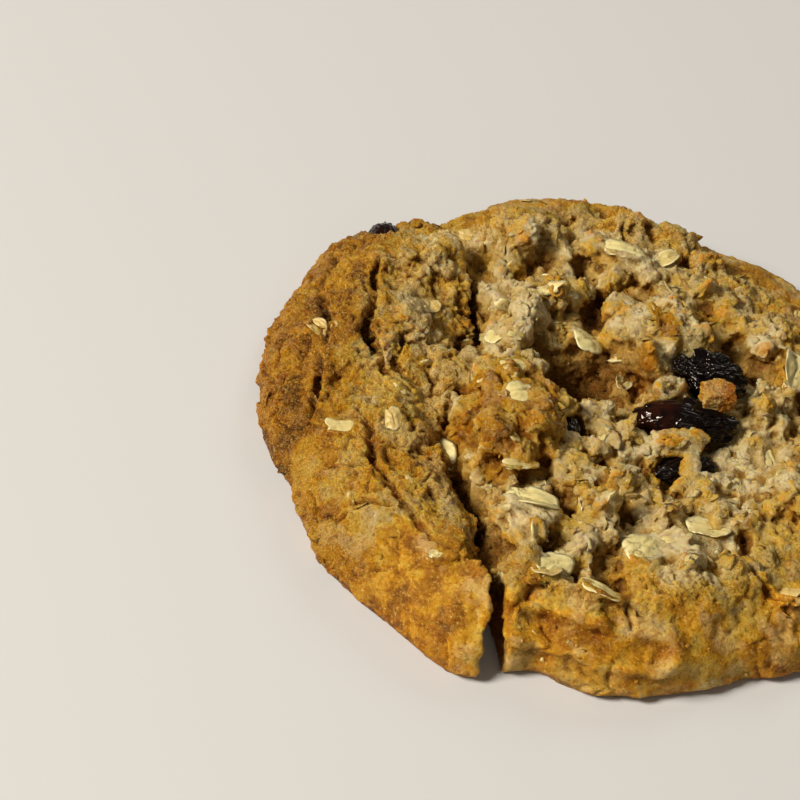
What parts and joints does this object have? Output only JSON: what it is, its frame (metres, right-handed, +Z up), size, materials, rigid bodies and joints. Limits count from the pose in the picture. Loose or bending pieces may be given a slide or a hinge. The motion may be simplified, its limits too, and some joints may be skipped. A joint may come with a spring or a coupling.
{
  "type": "oatmeal raisin cookie",
  "caption": "Round thick oatmeal cookie with a craggy top of oat clumps, cracks and a split in the rim, raisins set in the dough, and a flat baked base.",
  "frame": {"origin": "middle of the flat base, on the surface that it rests on", "axes": "+Z up through the craggy top, -Y towards the split in the rim, +X towards the side with most raisins"},
  "size_m": [0.0894, 0.0914, 0.0164],
  "materials": {
    "dough": "baked oat dough, golden brown crust, matte",
    "raisin": "dried grape skin, near black, glossy and wrinkled"
  },
  "bodies": {
    "root": {"cookie": "dough", "raisin_wrinkled": "raisin", "raisin_long": "raisin", "raisin_tucked": "raisin", "raisin_under_clump": "raisin", "raisin_left_rim": "raisin", "raisin_right": "raisin"}
  },
  "joints": []
}
